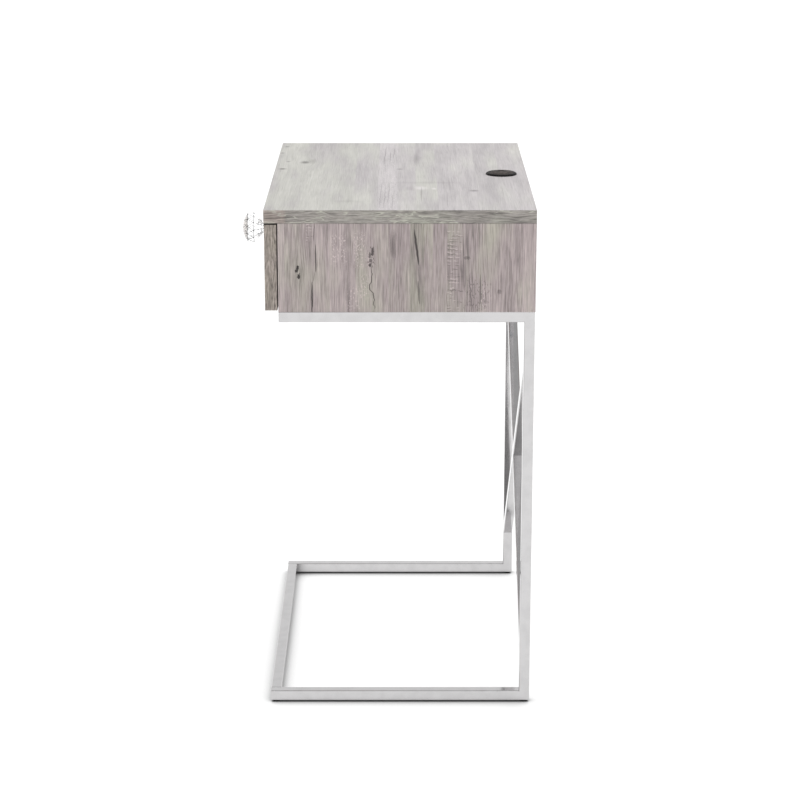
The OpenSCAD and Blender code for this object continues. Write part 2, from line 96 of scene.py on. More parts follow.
def make_world(level, overhead):
    """A white studio, as bright as level round the horizon and as overhead straight up."""
    world = bpy.data.worlds.new("studio")
    world.use_nodes = True
    tree = world.node_tree
    background = tree.nodes["Background"]
    background.inputs["Color"].default_value = WHITE
    direction = tree.nodes.new("ShaderNodeTexCoord")
    split = tree.nodes.new("ShaderNodeSeparateXYZ")
    fall = tree.nodes.new("ShaderNodeMapRange")
    fall.interpolation_type = "SMOOTHSTEP"
    for index, value in enumerate((SKY_START, SKY_END, level, overhead), start=1):
        fall.inputs[index].default_value = value
    tree.links.new(direction.outputs["Generated"], split.inputs[0])
    tree.links.new(split.outputs["Z"], fall.inputs[0])
    tree.links.new(fall.outputs[0], background.inputs["Strength"])
    scene.world = world


# ---- node materials ----


def srgb(red, green, blue):
    """A colour given as 0 to 255 for the screen, as the linear colour that the shaders take."""
    linear = []
    for value in (red, green, blue):
        share = value / 255.0
        linear.append(share / 12.92 if share <= 0.04045 else ((share + 0.055) / 1.055) ** 2.4)
    return (*linear, 1.0)


def scaled(tint, share):
    """A colour share times as bright, and no brighter than white."""
    return tuple(min(1.0, share * part) for part in tint)


class Surface:
    """A node material in the making. Each call adds a node and gives back its output."""

    def __init__(self, name):
        self.material = bpy.data.materials.new(name)
        self.material.use_nodes = True
        self.tree = self.material.node_tree
        self.shader = self.tree.nodes["Principled BSDF"]
        self.axes = None

    def put(self, socket, value):
        if isinstance(value, bpy.types.NodeSocket):
            self.tree.links.new(value, socket)
        else:
            socket.default_value = value

    def node(self, kind, inputs=None, output=0, **settings):
        node = self.tree.nodes.new("ShaderNode" + kind)
        for name, value in settings.items():
            setattr(node, name, value)
        for key, value in (inputs or {}).items():
            self.put(node.inputs[key], value)
        return node.outputs[output]

    def set(self, **values):
        """Values or outputs for the shader's own sockets, with _ for a space in a name."""
        for key, value in values.items():
            self.put(self.shader.inputs[key.replace("_", " ")], value)

    def calc(self, operation, first, second=0.0, clamp=False):
        return self.node("Math", {0: first, 1: second}, operation=operation, use_clamp=clamp)

    def times(self, *values):
        result = values[0]
        for value in values[1:]:
            result = self.calc("MULTIPLY", result, value)
        return result

    def plus(self, *values):
        result = values[0]
        for value in values[1:]:
            result = self.calc("ADD", result, value)
        return result

    def minus(self, first, second):
        return self.calc("SUBTRACT", first, second)

    def fade(self, value, start, end, low=0.0, high=1.0):
        """low before start, high after end, and smooth between them."""
        return self.node("MapRange", {0: value, 1: start, 2: end, 3: low, 4: high},
                         interpolation_type="SMOOTHSTEP")

    def scale(self, value, start, end, low=0.0, high=1.0):
        return self.node("MapRange", {0: value, 1: start, 2: end, 3: low, 4: high})

    def inside(self, value, low, high, soft):
        """1 between low and high, and 0 outside them."""
        rise = self.fade(value, low - soft, low + soft)
        fall = self.fade(value, high - soft, high + soft, 1.0, 0.0)
        return self.times(rise, fall)

    def choose(self, factor, first, second):
        """The number first at factor 0, second at factor 1."""
        return self.node("Mix", {0: factor, 2: first, 3: second}, data_type="FLOAT")

    def blend(self, factor, first, second, mode="MIX"):
        """The colour first at factor 0, second at factor 1."""
        return self.node("Mix", {0: factor, 6: first, 7: second}, output=2,
                         data_type="RGBA", blend_type=mode)

    def split(self, vector):
        node = self.tree.nodes.new("ShaderNodeSeparateXYZ")
        self.put(node.inputs[0], vector)
        return node.outputs[0], node.outputs[1], node.outputs[2]

    def join(self, x, y, z=0.0):
        return self.node("CombineXYZ", {0: x, 1: y, 2: z})

    def place(self):
        """The three coordinates of a point in the row frame, in mm."""
        if self.axes is None:
            metres = self.node("TexCoord", output="Object")
            self.axes = self.split(self.node("VectorMath", {0: metres, 1: (1000.0,) * 3},
                                             operation="MULTIPLY"))
        return self.axes

    def noise(self, vector, scale=1.0, detail=2.0, rough=0.5, output=0):
        return self.node("TexNoise", {"Vector": vector, "Scale": scale, "Detail": detail,
                                      "Roughness": rough}, output=output)

    def shaded(self, colour, share):
        """The colour made lighter or darker by share."""
        return self.node("VectorMath", {0: colour, 3: share}, operation="SCALE")

    def bump(self, height, distance, strength=1.0):
        return self.node("Bump", {"Height": height, "Distance": distance, "Strength": strength})


# ---- wood ----

# a face looks along an axis when this much of its normal does
FACING = 0.7
# surfaces this many mm apart, one behind the other, get a figure of their own
LAYER = 20.0
LAYER_SHIFT = 7.31


class Wood:
    """The figure of a washed oak board. u runs along the grain and v across it, both in mm."""

    def __init__(self, surface, along, across, seed, stretch=(1.0, 1.0)):
        """along and across name the axis to use on faces that look along X, Y and Z.

        stretch draws the figure out along the grain: on faces that look along X, and on the others.
        """
        s = self.s = surface
        x, y, z = s.place()
        axis = {"x": x, "y": y, "z": z}
        normal = s.split(s.node("TexCoord", output="Normal"))
        self.on_x = s.calc("GREATER_THAN", s.calc("ABSOLUTE", normal[0]), FACING)
        self.on_y = s.calc("GREATER_THAN", s.calc("ABSOLUTE", normal[1]), FACING)
        self.u = self.by_face(*[axis[name] for name in along])
        self.v = self.by_face(*[axis[name] for name in across])
        rest = [({"x", "y", "z"} - {a, b}).pop() for a, b in zip(along, across)]
        layer = s.calc("ROUND", s.times(self.by_face(*[axis[name] for name in rest]), 1.0 / LAYER))
        self.seed = s.plus(s.times(layer, LAYER_SHIFT), seed)
        self.bent = self.v
        self.drawn = s.times(self.u, s.choose(self.on_x, 1.0 / stretch[1], 1.0 / stretch[0]))
        self.light = 0.0
        self.dark = 0.0

    def by_face(self, x_face, y_face, z_face):
        s = self.s
        return s.choose(self.on_x, s.choose(self.on_y, z_face, y_face), x_face)

    def flow(self, u_scale, v_scale, detail=2.0, rough=0.5, shift=0.0):
        """Noise drawn out along the grain."""
        s = self.s
        where = s.join(s.times(self.drawn, u_scale), s.times(self.bent, v_scale),
                       s.plus(self.seed, shift))
        return s.noise(where, 1.0, detail, rough)

    def wave(self, layer):
        """A layer of that noise, as a swing to both sides of 0."""
        return self.s.minus(self.flow(*layer), 0.5)

    def wander(self, amount, u_scale, v_scale, shift):
        """Lets the grain drift sideways."""
        drift = self.s.minus(self.flow(u_scale, v_scale, 1.0, 0.5, shift), 0.5)
        self.bent = self.s.plus(self.bent, self.s.times(drift, amount))

    def part_round(self, u0, v0, long, wide, amount):
        """Parts the grain round a knot."""
        s = self.s
        du = s.times(s.minus(self.u, u0), 1.0 / long)
        dv = s.times(s.minus(self.v, v0), 1.0 / wide)
        near = s.calc("EXPONENT", s.times(s.plus(s.times(du, du), s.times(dv, dv)), -1.0))
        self.bent = s.minus(self.bent, s.times(s.minus(self.v, v0), near, amount))

    def lap(self, u0, v0, long, wide, ragged):
        """How far a point is from (u0, v0), with 1 at the rim of a ragged oval."""
        s = self.s
        du = s.times(s.minus(self.u, u0), 1.0 / long)
        dv = s.times(s.minus(self.v, v0), 1.0 / wide)
        far = s.calc("SQRT", s.plus(s.times(du, du), s.times(dv, dv)))
        rag = s.noise(s.join(s.times(self.u, 0.6), s.times(self.v, 0.8), u0), 1.0, 2.0)
        return s.plus(far, s.times(s.minus(rag, 0.5), ragged))

    def mark(self, mask, light=False):
        """Adds a mask to the light or the dark marks.

        Each mask joins the others at once: the renderer's stack can't hold many open values.
        """
        if light:
            self.light = self.s.calc("MAXIMUM", self.light, mask)
        else:
            self.dark = self.s.calc("MAXIMUM", self.dark, mask)

    def knot(self, u0, v0, long, wide, depth=0.8):
        """A dark ragged knot."""
        far = self.lap(u0, v0, long, wide, 1.6)
        self.mark(self.s.fade(far, 0.7, 1.15, depth, 0.0))

    def halo(self, u0, v0, long, wide, depth, light=False):
        """A soft stain."""
        far = self.lap(u0, v0, long, wide, 0.7)
        self.mark(self.s.fade(far, 0.1, 1.1, depth, 0.0), light)

    def crack(self, u1, v1, u2, v2, width, depth=0.75, wavy=1.2, wave=0.12):
        """A crack that is widest in the middle, and wanders by wavy mm."""
        s = self.s
        t = s.node("MapRange", {0: self.u, 1: u1, 2: u2})
        wobble = s.minus(s.noise(s.join(s.times(self.u, wave), v1), 1.0, 2.0), 0.5)
        line = s.plus(s.scale(t, 0.0, 1.0, v1, v2), s.times(wobble, wavy))
        away = s.calc("ABSOLUTE", s.minus(self.v, line))
        open_here = s.times(s.calc("SQRT", s.times(t, s.minus(1.0, t))), 2.0 * width)
        near = s.fade(s.minus(away, open_here), -0.5 * width, 0.25 * width, depth, 0.0)
        self.mark(s.times(near, s.calc("GREATER_THAN", open_here, 0.02)))

    def patch(self, u1, u2, v1, v2, soft):
        """1 in an area with soft edges, and 0 outside it."""
        s = self.s
        return s.times(s.inside(self.u, u1, u2, soft), s.inside(self.v, v1, v2, soft))

    def speckle(self, u1, u2, v1, v2, size, depth, light=True, soft=4.0):
        """Small flecks over a patch."""
        s = self.s
        where = s.join(s.times(self.u, 0.7 / size), s.times(self.v, 1.3 / size), u1)
        flecks = s.fade(s.noise(where, 1.0, 2.0, 0.6), 0.56, 0.66, 0.0, depth)
        self.mark(s.times(flecks, self.patch(u1, u2, v1, v2, soft)), light)

    def ladder(self, u1, u2, v1, v2, pitch, depth, light=0.6, slope=0.0, soft=1.2):
        """Saw marks: short strokes across the grain, unevenly spaced."""
        s = self.s
        uneven = s.noise(s.join(s.times(self.u, 0.4 / pitch), v1), 1.0, 1.0)
        sway = s.noise(s.join(s.times(self.u, 0.05), s.times(self.v, 0.25), u1), 1.0, 1.0)
        along = s.plus(self.u, s.times(uneven, pitch * 2.0), s.times(sway, pitch * 0.7))
        phase = s.calc("FRACT", s.times(s.plus(along, s.times(self.v, slope)), 1.0 / pitch))
        worn = s.fade(s.noise(s.join(s.times(self.u, 0.16), s.times(self.v, 0.14), v1)), 0.40, 0.52)
        ragged = s.noise(s.join(s.times(self.u, 0.35), v2), 1.0, 1.0)
        reach = s.fade(ragged, 0.38, 0.62, v1 + 0.25 * (v2 - v1), v2)
        short = s.fade(s.minus(self.v, reach), -soft, soft, 1.0, 0.0)
        where = s.times(self.patch(u1, u2, v1, v2, soft), worn, short)
        self.mark(s.times(s.inside(phase, 0.26, 0.46, 0.10), where, depth))
        self.mark(s.times(s.inside(phase, 0.56, 0.80, 0.10), where, depth * light), light=True)

    def boards(self, edges, span):
        """Planks side by side across the board. Each edge is its v, tone and share of green."""
        s = self.s
        low, high = span
        node = s.tree.nodes.new("ShaderNodeValToRGB")
        s.put(node.inputs[0], s.scale(self.v, low, high))
        ramp = node.color_ramp
        ramp.interpolation = "CONSTANT"
        for index, (edge, tone, green) in enumerate(edges):
            position = min(max((edge - low) / (high - low), 0.0), 1.0)
            stop = ramp.elements[index] if index < 2 else ramp.elements.new(position)
            stop.position = position
            chance = 0.5 + 0.5 * math.sin(17.0 * edge)
            stop.color = (tone, green, chance, 1.0)
        return s.split(node.outputs["Color"])


# layers of noise: scale along the grain and across it per mm, detail, roughness, and shift
CLOUD = (0.012, 0.035, 2.0, 0.5, 11.0)
BROAD = (0.007, 0.16, 2.0, 0.6, 13.0)
MIDDLE = (0.016, 0.45, 3.0, 0.65, 17.0)
FINE = (0.035, 1.1, 2.0, 0.6, 19.0)
MOTTLE = (0.06, 0.12, 3.0, 0.6, 21.0)
PORES = (0.04, 0.95, 1.0, 0.5, 23.0)
LIMED = (0.028, 0.75, 2.0, 0.6, 29.0)
VEINS = (0.022, 0.30, 2.0, 0.5, 31.0)
VEIN_PLACES = (0.03, 0.1, 1.0, 0.5, 37.0)
# how much stronger the figure is on an edge band, and on a drawer's face
BAND_FIGURE = 3.8
FACE_FIGURE = 0.5
# how far each plank's noise is shifted from its neighbour's
PLANK_SHIFT = 9.0
# where along Y, in mm, the edge band turns brown towards its front corner
BROWN_FROM = -121.0
BROWN_TO = -116.0


def board_tints(wood, tints, band, face):
    """The warm and the cool colour, which differ on an edge band and on a drawer's face."""
    s = wood.s
    warm, cool = tints
    if face:
        warm = s.blend(wood.on_y, warm, face[0])
        cool = s.blend(wood.on_y, cool, face[1])
    if band:
        warm = s.blend(wood.on_x, warm, band[0])
        cool = s.blend(wood.on_x, cool, band[1])
        front = s.times(wood.on_x, s.fade(s.place()[1], BROWN_FROM, BROWN_TO, 1.0, 0.0))
        warm = s.blend(front, warm, BROWN_TINTS[0])
        cool = s.blend(front, cool, BROWN_TINTS[1])
    return warm, cool


def band_veins(wood):
    """Thin wavy whitish veins along an edge band."""
    s = wood.s
    contour = s.calc("ABSOLUTE", wood.wave(VEINS))
    return s.times(s.fade(contour, 0.012, 0.040, 1.0, 0.0), wood.on_x,
                   s.fade(wood.flow(*VEIN_PLACES), 0.48, 0.58))


def washed_oak(name, along, across, span, edges, seed, tints, marks, figure=1.0,
               stretch=(1.0, 1.0), band=None, face=None, gap_shade=()):
    """Grey washed oak: planks, drawn-out grain, pores, and the marks that a function adds.

    tints are the warm and the cool colour. band gives those of an edge band on the faces that look
    along X, and face those of the faces that look along Y. The gap shade is painted shade on the
    rims of boards in a gap between parts: axis, start, end, and the share of light at each.
    """
    s = Surface(name)
    wood = Wood(s, along, across, seed, stretch)
    marks(wood)
    tone, green, chance = wood.boards(edges, span)
    wood.seed = s.plus(wood.seed, s.times(chance, PLANK_SHIFT))
    wood.wander(9.0, 0.005, 0.02, 3.0)
    wood.wander(1.6, 0.02, 0.09, 5.0)
    if band:
        wood.wander(s.times(wood.on_x, 7.0), 0.022, 0.06, 7.0)

    cloud = wood.wave(CLOUD)
    broad = wood.wave(BROAD)
    middle = wood.wave(MIDDLE)
    fine = wood.wave(FINE)
    mottle = wood.wave(MOTTLE)
    pores = wood.flow(*PORES)
    limed = wood.flow(*LIMED)

    warm, cool = board_tints(wood, tints, band, face)
    hue = s.calc("ADD", green, s.times(cloud, 3.6), clamp=True)
    colour = s.blend(hue, warm, cool)
    grain = s.plus(s.times(broad, 0.42), s.times(middle, 0.95), s.times(fine, 1.65),
                   s.times(mottle, 0.5))
    if band:
        grain = s.times(grain, s.choose(wood.on_x, 1.0, BAND_FIGURE))
    if face:
        grain = s.times(grain, s.choose(wood.on_y, 1.0, FACE_FIGURE))
    level = s.plus(tone, s.times(cloud, 0.72), s.times(grain, figure))
    colour = s.shaded(colour, level)

    dark_pores = s.fade(pores, 0.60, 0.72, 0.0, 0.60 * figure)
    white_pores = s.fade(limed, 0.57, 0.70, 0.0, 0.62 * figure)
    colour = s.blend(white_pores, colour, scaled(tints[0], 1.5))
    if band:
        colour = s.blend(band_veins(wood), colour, scaled(band[1], 1.8))
    colour = s.blend(dark_pores, colour, scaled(tints[1], 0.50))
    colour = s.blend(wood.light, colour, scaled(tints[0], 1.7))
    colour = s.blend(wood.dark, colour, scaled(tints[0], 0.08))
    axis = dict(zip("xyz", s.place()))
    # painted shade: each rim in a gap is darkened, standing in for the shade that falls there
    for letter, start, end, before, after in gap_shade:
        colour = s.shaded(colour, s.fade(axis[letter], start, end, before, after))

    dips = s.calc("MAXIMUM", dark_pores, wood.dark)
    s.set(Base_Color=colour)
    s.set(Roughness=s.plus(0.50, s.times(middle, 0.25), s.times(dips, 0.2)))
    # the marks stay out of the relief, because the renderer works a relief out three times over
    height = s.minus(s.plus(s.times(middle, 0.5), s.times(fine, 0.6)), dark_pores)
    s.set(Normal=s.bump(height, 0.0002, 0.5))
    s.set(Specular_IOR_Level=0.3)
    return s.material


TOP_TINTS = ((0.323, 0.304, 0.307, 1.0), (0.308, 0.303, 0.282, 1.0))
BAND_TINTS = ((0.276, 0.257, 0.238, 1.0), (0.260, 0.257, 0.222, 1.0))
SIDE_TINTS = ((0.376, 0.320, 0.318, 1.0), (0.340, 0.318, 0.278, 1.0))
FACE_TINTS = ((0.366, 0.322, 0.316, 1.0), (0.352, 0.322, 0.292, 1.0))
BROWN_TINTS = ((0.330, 0.284, 0.258, 1.0), (0.296, 0.262, 0.226, 1.0))


def top_marks(wood):
    """Soft stains, a limed seam and fine cracks. On the top face u is along X, and v along Y."""
    wood.part_round(-88.0, -104.0, 26.0, 14.0, 0.5)
    wood.halo(-88.0, -107.0, 14.0, 8.0, 0.62)
    wood.halo(-96.0, -98.0, 24.0, 8.0, 0.24)
    wood.halo(-38.0, -135.0, 7.0, 7.0, 0.65)
    wood.halo(-94.0, -130.0, 7.0, 4.0, 0.4)
    wood.halo(-162.0, -141.0, 7.0, 4.0, 0.45)
    wood.halo(-214.0, -137.0, 7.0, 5.0, 0.45)
    wood.halo(-36.0, 20.0, 7.0, 6.0, 0.3)
    wood.halo(118.0, 113.0, 9.0, 8.0, 0.45)
    wood.halo(-110.0, 42.0, 60.0, 6.0, 0.26)
    wood.halo(102.0, 34.0, 22.0, 8.0, 0.16)
    wood.halo(100.0, 46.0, 16.0, 12.0, 0.42, light=True)
    wood.halo(104.0, 63.0, 9.0, 4.0, 0.5, light=True)
    wood.halo(62.0, 50.0, 10.0, 62.0, 0.10)
    wood.halo(188.0, -46.0, 12.0, 22.0, 0.10)
    wood.speckle(-240.0, 244.0, -8.0, 17.0, 2.6, 0.42, soft=3.0)
    wood.speckle(60.0, 244.0, -8.0, 17.0, 2.2, 0.25, light=False, soft=3.0)
    wood.crack(190.0, 46.0, 90.0, 47.5, 0.7, 0.3)
    wood.crack(226.0, 78.0, 120.0, 79.0, 0.6, 0.25)
    for start, end, beside in ((-214.0, -70.0, -1.0), (-170.0, -90.0, 6.0), (-200.0, -120.0, 11.0),
                               (60.0, 236.0, -5.0), (90.0, 240.0, 0.0), (60.0, 200.0, 5.0),
                               (130.0, 238.0, 10.0)):
        wood.crack(end, beside, start, beside + 2.0, 0.8, 0.26, 5.0, 0.022)


def side_marks(wood):
    """Knots, cracks, saw marks and flecks. On a side u is the height, and v is along Y."""
    wood.part_round(561.0, -102.5, 24.0, 9.0, 0.5)
    wood.part_round(578.0, -14.5, 26.0, 9.0, 0.5)
    wood.knot(567.4, -103.9, 3.4, 1.5, 0.95)
    wood.knot(564.0, -105.4, 2.6, 2.0, 0.9)
    wood.knot(557.0, -103.0, 3.6, 2.1, 0.95)
    wood.halo(561.0, -102.0, 16.0, 7.0, 0.15)
    wood.crack(551.0, -86.7, 508.0, -87.1, 1.0, 0.95)
    wood.crack(597.0, -82.2, 562.0, -82.0, 0.75, 0.8)
    wood.crack(562.0, -83.5, 548.0, -86.0, 0.4, 0.5)
    wood.crack(622.0, -83.6, 600.0, -84.4, 0.5, 0.6, 3.0)
    wood.crack(615.5, 37.2, 570.0, 43.2, 1.5, 0.85, 1.8)
    wood.crack(552.0, 42.0, 522.0, 44.0, 1.6, 0.42)
    wood.speckle(568.0, 594.0, -20.0, -9.5, 2.4, 0.95, light=False, soft=2.0)
    wood.knot(588.0, -13.0, 6.0, 1.6, 0.8)
    wood.knot(583.0, -16.6, 4.0, 1.5, 0.65)
    wood.knot(576.5, -15.4, 2.4, 2.2, 0.6)
    wood.knot(571.0, -16.4, 2.6, 1.8, 0.8)
    wood.crack(567.0, -16.5, 516.0, -12.6, 0.8, 0.75, 15.0, 0.085)
    wood.ladder(512.0, 614.0, 77.5, 97.0, 4.6, 0.45, light=1.3, slope=0.05)
    wood.crack(598.0, 79.5, 512.0, 80.0, 0.5, 0.35)
    wood.crack(612.0, 97.0, 540.0, 97.5, 0.5, 0.35)
    wood.ladder(598.0, 622.0, -93.0, -84.0, 4.4, 0.55, light=1.2)
    wood.speckle(572.0, 608.0, -64.0, -44.0, 2.0, 1.0)
    wood.speckle(568.0, 612.0, -37.0, -22.0, 1.8, 1.0)
    wood.speckle(514.0, 542.0, -44.0, -28.0, 2.2, 1.0)
    wood.speckle(530.0, 560.0, -30.0, -18.0, 1.8, 1.0)
    wood.speckle(512.0, 540.0, 116.0, 126.0, 2.0, 0.8)
    wood.crack(562.0, 104.5, 512.0, 107.5, 0.9, 0.6, 4.0)
    wood.crack(560.0, 117.5, 522.0, 118.0, 0.9, 0.6)
    wood.crack(540.0, 124.0, 522.0, 124.5, 0.6, 0.5)
    wood.speckle(512.0, 552.0, 98.0, 130.0, 3.0, 0.5, light=False)
    wood.knot(580.0, 101.0, 2.2, 4.4, 0.4)
    wood.knot(538.0, 141.0, 3.2, 2.6, 0.4)
    wood.halo(596.0, 12.0, 24.0, 6.0, 0.35)
    wood.halo(600.0, -42.0, 12.0, 5.0, 0.25)
    wood.halo(545.0, -43.0, 60.0, 4.0, 0.28)


def front_marks(wood):
    """One soft darker patch, low on the end of the drawer's front. There u is the height, and v is
    along Y.
    """
    wood.halo(540.0, -137.0, 18.0, 6.0, 0.2)


# the v in mm where each plank starts, its tone, and its share of green
TOP_PLANKS = ((-200.0, 1.00, 0.7), (-138.0, 1.00, 0.8), (-104.0, 0.99, 0.6), (-68.0, 0.99, 0.8),
              (-38.0, 0.99, 0.4), (-8.5, 1.07, 0.0), (17.0, 1.03, 0.3), (40.0, 1.00, 0.5),
              (66.0, 1.01, 0.0), (118.0, 1.00, 0.3), (150.0, 1.03, 0.1))
SIDE_PLANKS = ((-130.0, 1.18, 0.2), (-121.0, 0.99, 0.3), (-87.0, 1.06, 0.1), (-66.0, 1.10, 0.0),
               (-46.5, 1.00, 0.1), (-34.5, 1.06, 0.4), (-16.0, 1.05, 0.3), (5.5, 0.94, 0.1),
               (32.0, 0.93, 0.9), (49.0, 1.02, 0.4), (59.0, 0.97, 0.1), (77.0, 0.95, 0.2),
               (99.0, 0.93, 0.3), (119.5, 1.03, 0.2), (157.0, 0.97, 0.0), (168.0, 1.12, 0.0))
FRONT_PLANKS = ((-240.0, 1.0, 0.3), (-150.0, 0.95, 0.6), (-60.0, 1.05, 0.1), (40.0, 1.0, 0.8),
                (90.0, 0.96, 0.2), (520.0, 1.0, 0.4), (548.0, 0.96, 0.2), (585.0, 1.04, 0.6))


# ---- metal, plastic and the rest ----


def chrome(name, tint, rough=0.07):
    """Polished plating: clear reflections with a faint haze and a slight ripple."""
    s = Surface(name)
    where = s.node("TexCoord", output="Object")
    haze = s.noise(where, 60.0, 3.0)
    ripple = s.noise(where, 18.0, 1.0)
    s.set(Base_Color=s.blend(s.fade(haze, 0.35, 0.7), tint, scaled(tint, 0.94)))
    s.set(Metallic=1.0, Roughness=s.scale(haze, 0.3, 0.7, rough * 0.7, rough * 1.4))
    s.set(Normal=s.bump(ripple, 0.0004, 0.25))
    return s.material


def plated(name, tint, rough, size):
    """Zinc plating or rolled steel: dull, with a fine spangle."""
    s = Surface(name)
    x, y, z = s.place()
    spangle = s.node("TexVoronoi", {"Vector": s.join(x, y, z), "Scale": 1.0 / size}, output=1)
    level = s.split(spangle)[0]
    streak = s.noise(s.join(s.times(x, 0.8), s.times(y, 0.04), s.times(z, 0.8)), 1.0, 3.0)
    s.set(Base_Color=s.blend(level, tint, scaled(tint, 0.86)), Metallic=1.0)
    s.set(Roughness=s.plus(rough - 0.08, s.times(streak, 0.16)))
    s.set(Normal=s.bump(streak, 0.00005, 0.4))
    return s.material


def moulded(name, tint, rough=0.45, grain=0.25, mottle=1.15):
    """Moulded plastic with a fine spark-eroded grain."""
    s = Surface(name)
    x, y, z = s.place()
    grit = s.noise(s.join(x, y, z), 1.0 / grain, 2.0)
    cloud = s.noise(s.join(x, y, z), 0.22, 2.0)
    s.set(Base_Color=s.blend(s.fade(cloud, 0.3, 0.7), tint, scaled(tint, mottle)))
    s.set(Roughness=s.plus(rough - 0.06, s.times(grit, 0.12)), Specular_IOR_Level=0.12)
    s.set(Normal=s.bump(grit, 0.00004, 0.5))
    return s.material


def plain_wood(name, light, dark, along, across, size=1.0):
    """Unfinished or foiled wood with a straight even grain."""
    s = Surface(name)
    wood = Wood(s, along, across, 40.0)
    wood.wander(4.0, 0.01, 0.03, 1.0)
    broad = wood.flow(0.008 / size, 0.25 / size, 2.0)
    fine = wood.flow(0.04 / size, 1.8 / size, 2.0, 0.6, 4.0)
    share = s.plus(s.times(broad, 0.6), s.times(fine, 0.5))
    s.set(Base_Color=s.blend(s.fade(share, 0.35, 0.75), light, dark))
    s.set(Roughness=s.plus(0.5, s.times(fine, 0.15)))
    s.set(Normal=s.bump(fine, 0.00008, 0.5))
    return s.material


def fibreboard(name, light, dark):
    """Painted board with the mottle of pressed fibres."""
    s = Surface(name)
    x, y, z = s.place()
    mottle = s.noise(s.join(x, y, z), 0.35, 4.0, 0.7)
    cloud = s.noise(s.join(x, y, z), 0.02, 2.0)
    share = s.plus(s.times(mottle, 0.7), s.times(cloud, 0.3))
    s.set(Base_Color=s.blend(s.fade(share, 0.35, 0.65), light, dark))
    s.set(Roughness=s.plus(0.55, s.times(mottle, 0.15)))
    s.set(Normal=s.bump(mottle, 0.0001, 0.4))
    return s.material


def crystal_glass(name, tint=1.0, rough=0.0, painted_glow=0.0, clear=1.0):
    """Clear glass. The glow is painted light: the glass gives off light of its own, standing in for
    the light a cut stone gathers from all round.
    """
    s = Surface(name)
    x, y, z = s.place()
    film = s.noise(s.join(x, y, z), 0.25, 2.0)
    s.set(Base_Color=(tint, tint, tint, 1.0), IOR=1.18, Transmission_Weight=clear)
    s.set(Roughness=s.fade(film, 0.45, 0.8, rough, rough + 0.03))
    # painted light: the glass glows as if it were a lamp
    if painted_glow:
        s.set(Emission_Color=WHITE)
        s.set(Emission_Strength=s.fade(film, 0.3, 0.7, painted_glow, 0.9 * painted_glow))
    return s.material


def circuit(name):
    """Green board with copper tracks."""
    s = Surface(name)
    x, y, z = s.place()
    tracks = s.node("TexVoronoi", {"Vector": s.join(x, y, z), "Scale": 0.5, "Randomness": 0.4},
                    distance="CHEBYCHEV")
    line = s.fade(tracks, 0.42, 0.46)
    s.set(Base_Color=s.blend(line, srgb(24, 84, 52), srgb(180, 150, 90)), Roughness=0.4)
    s.set(Metallic=s.times(line, 0.8))
    return s.material


OAK_TOP = washed_oak(
    "washed_oak_top", "yxx", "zzy", (-200.0, 200.0), TOP_PLANKS, 3.0, TOP_TINTS, top_marks,
    figure=0.36, stretch=(0.6, 1.8), band=BAND_TINTS)
# painted shade darkens the side's rim under the edge band, and its front edge in the drawer's gap
OAK_SIDE = washed_oak(
    "washed_oak_side", "zzy", "yxx", (-130.0, 190.0), SIDE_PLANKS, 8.0, SIDE_TINTS, side_marks,
    figure=0.82, gap_shade=(("z", 621.4, 622.2, 1.0, 0.55), ("y", -128.1, -127.7, 0.6, 1.0)))
# painted shade darkens the front's top rim and its back rim, in the gaps round it
OAK_FRONT = washed_oak(
    "washed_oak_front", "zxx", "yzy", (-250.0, 650.0), FRONT_PLANKS, 21.0, BROWN_TINTS,
    front_marks, figure=1.5, stretch=(0.45, 1.6), face=FACE_TINTS,
    gap_shade=(("z", 620.1, 620.8, 1.0, 0.15), ("y", -129.9, -129.4, 1.0, 0.4)))

CHROME_TINT = (0.60, 0.592, 0.596, 1.0)
MATERIALS = {
    "washed_oak_board": OAK_SIDE,
    "back_board": fibreboard("back_board", srgb(150, 144, 140), srgb(134, 128, 125)),
    "beech": plain_wood("beech", srgb(205, 168, 126), srgb(176, 134, 94), "zxz", "xyy"),
    "drawer_board": plain_wood("drawer_board", srgb(168, 163, 158), srgb(148, 143, 138),
                               "yxy", "zzx"),
    "drawer_floor": fibreboard("drawer_floor", srgb(176, 172, 168), srgb(160, 156, 152)),
    "chrome_tube": chrome("chrome_tube", CHROME_TINT),
    "knob_chrome": chrome("knob_chrome", CHROME_TINT, 0.05),
    # the knob's glass glows with painted light
    "crystal": crystal_glass("crystal", painted_glow=0.17),
    "zinc_plate": plated("zinc_plate", (0.55, 0.56, 0.58, 1.0), 0.34, 1.5),
    "slide_steel": plated("slide_steel", (0.60, 0.60, 0.60, 1.0), 0.30, 3.0),
    "cage_steel": plated("cage_steel", (0.50, 0.50, 0.49, 1.0), 0.36, 2.0),
    "ball_steel": chrome("ball_steel", (0.62, 0.62, 0.62, 1.0), 0.10),
    "black_steel": moulded("black_steel", srgb(38, 38, 38), 0.38, 0.5),
    "brass": plated("brass", (0.72, 0.53, 0.25, 1.0), 0.30, 2.0),
    "black_plastic": moulded("black_plastic", srgb(30, 30, 30), 0.48),
    "port_black": moulded("port_black", srgb(20, 18, 17), 0.5),
    "port_face_grey": moulded("port_face_grey", srgb(30, 26, 24), 0.6, 0.6, 4.2),
    "socket_steel": plated("socket_steel", (0.58, 0.57, 0.55, 1.0), 0.25, 1.0),
    "circuit_board": circuit("circuit_board"),
}


# ---- meshes ----


def new_object(name, bm):
    mesh = bpy.data.meshes.new(name)
    bmesh.ops.recalc_face_normals(bm, faces=bm.faces)
    bm.to_mesh(mesh)
    bm.free()
    piece = bpy.data.objects.new(name, mesh)
    scene.collection.objects.link(piece)
    return piece


def smooth(piece):
    for polygon in piece.data.polygons:
        polygon.use_smooth = True


TUBE_RADIUS = 1.3 * MM
END_RADIUS = 0.12 * MM
# a step along an axis that counts as a slope
SLOPE_STEP = 1e-6


